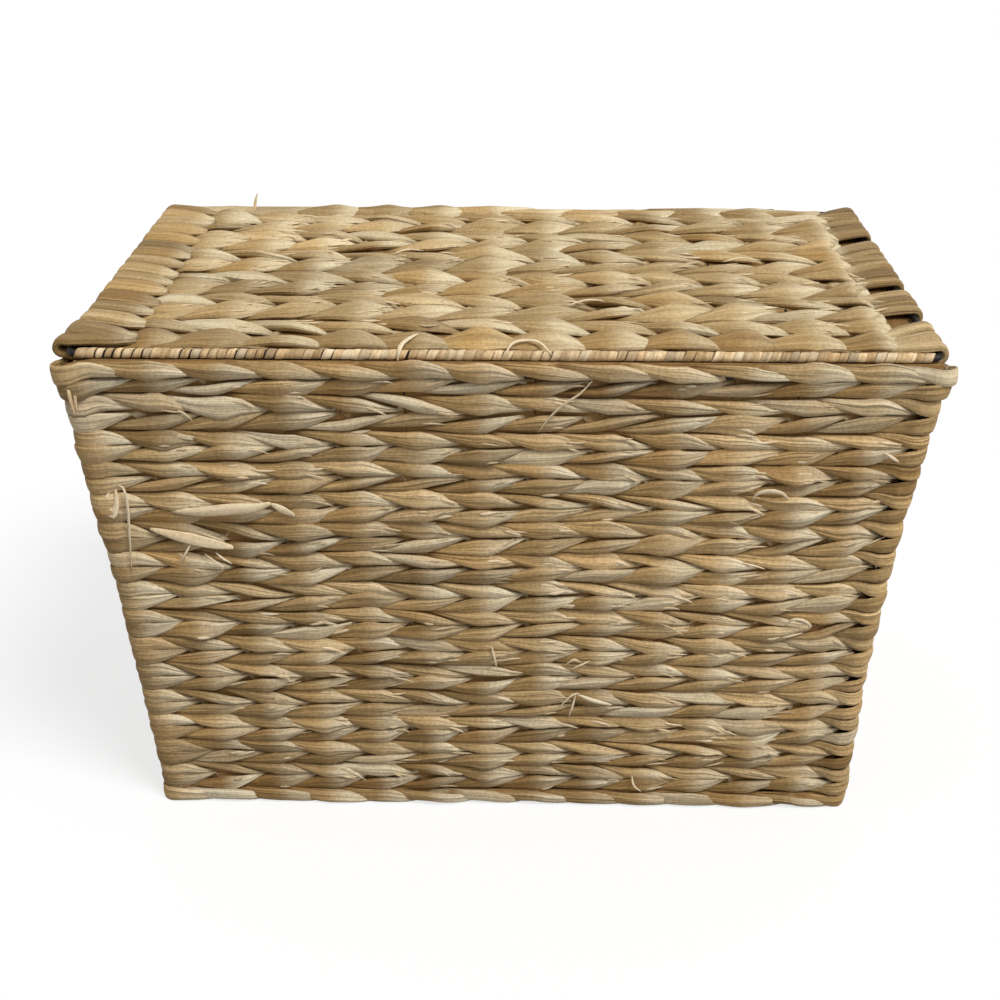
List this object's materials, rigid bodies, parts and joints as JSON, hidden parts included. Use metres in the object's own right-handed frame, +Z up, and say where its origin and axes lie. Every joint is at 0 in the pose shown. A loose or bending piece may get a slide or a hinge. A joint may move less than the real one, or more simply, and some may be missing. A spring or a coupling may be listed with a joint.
{
  "type": "woven lidded box",
  "caption": "Tapered rectangular storage basket twined from flat dried stems on an iron wire frame, with a flat woven lid that hinges on wire loops at the back.",
  "frame": {"origin": "on the floor under the middle of the basket", "axes": "+Z up, front faces -Y, hinge at +Y, +X to the right seen from the front"},
  "size_m": [0.4, 0.24, 0.2645],
  "materials": {
    "wall_stems": "matte dried stem weave",
    "lid_stems": "matte dried stem weave",
    "pale_fibre": "matte twisted fibre",
    "iron_wire": "satin black paint"
  },
  "bodies": {
    "basket": {"front_weave": "wall_stems", "back_weave": "wall_stems", "left_weave": "wall_stems", "right_weave": "wall_stems", "base_weave": "wall_stems", "top_rim_wire": "iron_wire", "base_rim_wire": "iron_wire", "corner_post_front_left": "iron_wire", "corner_post_front_right": "iron_wire", "corner_post_back_left": "iron_wire", "corner_post_back_right": "iron_wire", "long_stake_01": "iron_wire", "long_stake_02": "iron_wire", "long_stake_03": "iron_wire", "long_stake_04": "iron_wire", "long_stake_05": "iron_wire", "long_stake_06": "iron_wire", "long_stake_07": "iron_wire", "long_stake_08": "iron_wire", "long_stake_09": "iron_wire", "long_stake_10": "iron_wire", "long_stake_11": "iron_wire", "long_stake_12": "iron_wire", "cross_stake_1": "iron_wire", "cross_stake_2": "iron_wire", "cross_stake_3": "iron_wire", "cross_stake_4": "iron_wire", "cross_stake_5": "iron_wire", "cross_stake_6": "iron_wire", "cross_stake_7": "iron_wire", "hinge_loop_left": "iron_wire", "hinge_loop_right": "iron_wire"},
    "lid": {"lid_weave": "lid_stems", "lid_left_border": "lid_stems", "lid_right_border": "lid_stems", "lid_frame_wire": "iron_wire", "lid_stake_01": "iron_wire", "lid_stake_02": "iron_wire", "lid_stake_03": "iron_wire", "lid_stake_04": "iron_wire", "lid_stake_05": "iron_wire", "lid_stake_06": "iron_wire", "lid_stake_07": "iron_wire", "lid_stake_08": "iron_wire", "lid_stake_09": "iron_wire", "lid_stake_10": "iron_wire", "lid_stake_11": "iron_wire", "lid_stake_12": "iron_wire", "lid_front_whipping": "pale_fibre"}
  },
  "joints": [
    {"name": "lid_hinge", "type": "hinge", "parent": "basket", "child": "lid", "pos_m": [0, 0.1155, 0.26], "axis": [-1, 0, 0], "range_deg": [0, 180]}
  ]
}
